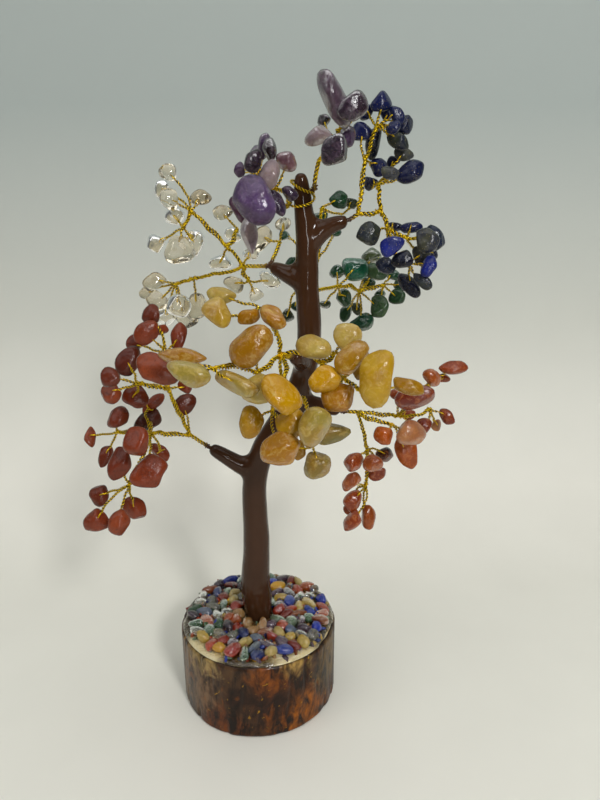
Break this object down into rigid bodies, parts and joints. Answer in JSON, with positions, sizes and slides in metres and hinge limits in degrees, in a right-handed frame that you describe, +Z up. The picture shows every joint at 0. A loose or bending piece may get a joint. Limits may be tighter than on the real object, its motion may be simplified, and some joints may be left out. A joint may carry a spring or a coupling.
{
  "type": "gemstone tree ornament",
  "caption": "Ornamental wire tree with drilled stone chips on bendable sprays, a lacquered trunk and a bark-edged log base topped with glued stone chips.",
  "frame": {"origin": "centre of the log's underside, which rests on the table", "axes": "+Z up along the trunk, -Y to the front, +X to the viewer's right"},
  "size_m": [0.179, 0.1338, 0.2894],
  "materials": {
    "wood": "sawn, unsealed",
    "bark": "varnished bark",
    "glue": "clear set glue",
    "lacquer": "gloss brown coat",
    "wire": "bright gold-coloured craft wire",
    "jasper": "tumbled",
    "yellow_quartz": "tumbled, translucent",
    "carnelian": "tumbled, translucent",
    "clear_quartz": "tumbled, clear",
    "amethyst": "tumbled, translucent",
    "lapis": "tumbled",
    "aventurine": "tumbled, translucent"
  },
  "bodies": {
    "stand": {"log_core": "wood", "bark_ring": "bark", "glue_bed": "glue", "ground_clear_quartz": "clear_quartz", "ground_jasper": "jasper", "ground_yellow_quartz": "yellow_quartz", "ground_aventurine": "aventurine", "ground_lapis": "lapis", "ground_carnelian": "carnelian", "ground_amethyst": "amethyst", "trunk_coat": "lacquer", "wire_core": "wire"},
    "jasper_spray": {"jasper_knots": "wire", "jasper_stems": "wire", "jasper_twigs": "wire", "jasper_loops": "wire", "jasper_stones": "jasper"},
    "yellow_quartz_spray": {"yellow_quartz_knots": "wire", "yellow_quartz_stems": "wire", "yellow_quartz_twigs": "wire", "yellow_quartz_loops": "wire", "yellow_quartz_stones": "yellow_quartz"},
    "carnelian_spray": {"carnelian_knots": "wire", "carnelian_stems": "wire", "carnelian_twigs": "wire", "carnelian_loops": "wire", "carnelian_stones": "carnelian"},
    "clear_quartz_spray": {"clear_quartz_knots": "wire", "clear_quartz_stems": "wire", "clear_quartz_twigs": "wire", "clear_quartz_loops": "wire", "clear_quartz_stones": "clear_quartz"},
    "amethyst_left_spray": {"amethyst_left_knots": "wire", "amethyst_left_stems": "wire", "amethyst_left_twigs": "wire", "amethyst_left_loops": "wire", "amethyst_left_stones": "amethyst"},
    "amethyst_right_spray": {"amethyst_right_knots": "wire", "amethyst_right_stems": "wire", "amethyst_right_twigs": "wire", "amethyst_right_loops": "wire", "amethyst_right_stones": "amethyst"},
    "lapis_spray": {"lapis_knots": "wire", "lapis_stems": "wire", "lapis_twigs": "wire", "lapis_loops": "wire", "lapis_stones": "lapis"},
    "aventurine_spray": {"aventurine_knots": "wire", "aventurine_stems": "wire", "aventurine_twigs": "wire", "aventurine_loops": "wire", "aventurine_stones": "aventurine"}
  },
  "joints": [
    {"name": "jasper_bend", "type": "hinge", "parent": "stand", "child": "jasper_spray", "pos_m": [-0.02188, 0, 0.13361], "axis": [0, 1, 0], "range_deg": [-10, 10]},
    {"name": "yellow_quartz_bend", "type": "hinge", "parent": "stand", "child": "yellow_quartz_spray", "pos_m": [0.01831, -0.01501, 0.18083], "axis": [1, 0, 0], "range_deg": [-10, 10]},
    {"name": "carnelian_bend", "type": "hinge", "parent": "stand", "child": "carnelian_spray", "pos_m": [0.04078, 0.005, 0.14995], "axis": [0, 1, 0], "range_deg": [-10, 10]},
    {"name": "clear_quartz_bend", "type": "hinge", "parent": "stand", "child": "clear_quartz_spray", "pos_m": [0.00789, 0.008, 0.21721], "axis": [0, 1, 0], "range_deg": [-10, 10]},
    {"name": "amethyst_left_bend", "type": "hinge", "parent": "stand", "child": "amethyst_left_spray", "pos_m": [0.01781, -0.00308, 0.24795], "axis": [0, 1, 0], "range_deg": [-10, 10]},
    {"name": "amethyst_right_bend", "type": "hinge", "parent": "stand", "child": "amethyst_right_spray", "pos_m": [0.0272, -0.0017, 0.24895], "axis": [0, 1, 0], "range_deg": [-10, 10]},
    {"name": "lapis_bend", "type": "hinge", "parent": "stand", "child": "lapis_spray", "pos_m": [0.04218, 0, 0.2371], "axis": [0, 1, 0], "range_deg": [-10, 10]},
    {"name": "aventurine_bend", "type": "hinge", "parent": "stand", "child": "aventurine_spray", "pos_m": [0.02783, 0.01601, 0.20512], "axis": [1, 0, 0], "range_deg": [-10, 10]}
  ]
}
